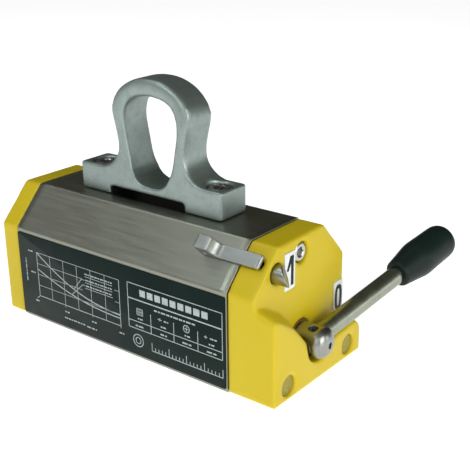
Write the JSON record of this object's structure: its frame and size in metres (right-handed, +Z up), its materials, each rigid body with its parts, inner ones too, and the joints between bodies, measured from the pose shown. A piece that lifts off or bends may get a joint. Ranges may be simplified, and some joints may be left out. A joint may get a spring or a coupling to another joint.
{
  "type": "permanent lifting magnet",
  "caption": "Switchable permanent lifting magnet: boxy housing with a shackle eye on top, a turning lever at one end and a spring latch that a thumb slide draws back.",
  "frame": {"origin": "centre of the lifting face, on its divider strip, where the magnet rests on the load", "axes": "+X along the body towards the lever end, +Y towards the side that the lever points to when released, +Z up through the shackle"},
  "size_m": [0.2696, 0.1885, 0.1794],
  "materials": {
    "pole_steel": "ground",
    "brass": "machined",
    "magnet": "matte",
    "cover_sheet": "brushed",
    "rating_plate": "satin",
    "yellow_paint": "satin",
    "screw_steel": "satin",
    "plug": "matte",
    "turned_steel": "turned",
    "black_steel": "blackened",
    "grip_plastic": "satin",
    "slide_steel": "satin",
    "spring_steel": "drawn",
    "white_plate": "satin",
    "shackle_steel": "blasted"
  },
  "bodies": {
    "housing": {"pole_shoe_front": "pole_steel", "pole_shoe_rear": "pole_steel", "bottom_divider": "brass", "stator_magnet_left": "magnet", "stator_magnet_right": "magnet", "load_plate": "pole_steel", "housing_cover": "cover_sheet", "rating_plate": "rating_plate", "plain_end_cap": "yellow_paint", "lever_end_cap": "yellow_paint", "lever_cap_screw_top": "screw_steel", "lever_cap_screw_front": "screw_steel", "lever_cap_screw_rear": "screw_steel", "plain_cap_screw_top": "screw_steel", "plain_cap_screw_front": "screw_steel", "plain_cap_screw_rear": "screw_steel", "hole_plug_front": "plug", "hole_plug_rear": "plug", "lever_end_bush": "brass", "plain_end_bush": "brass", "hub_washer": "black_steel", "position_plate_on": "white_plate", "position_plate_off": "white_plate", "shackle": "shackle_steel", "shackle_screw_plain": "screw_steel", "shackle_screw_lever": "screw_steel"},
    "rotor": {"rotor_pole_rear": "pole_steel", "rotor_pole_front": "pole_steel", "rotor_magnet": "magnet", "rotor_end_plain": "turned_steel", "rotor_end_drive": "turned_steel", "lever_hub": "turned_steel", "grub_screw": "black_steel", "lever_arm": "turned_steel", "lever_grip": "grip_plastic"},
    "latch": {"latch_bolt": "turned_steel", "thumb_slide": "slide_steel", "latch_dowel": "turned_steel", "latch_spring": "spring_steel"}
  },
  "joints": [
    {"name": "lever_turn", "type": "hinge", "parent": "housing", "child": "rotor", "pos_m": [0.1244, 0, 0.0262], "axis": [1, 0, 0], "range_deg": [0, 116.1]},
    {"name": "latch_slide", "type": "slide", "parent": "housing", "child": "latch", "axis": [1, 0, 0], "range_m": [-0.009, 0], "stiffness_N_per_m": 500, "springref_m": 0.012, "deforming": ["latch_spring"]}
  ]
}
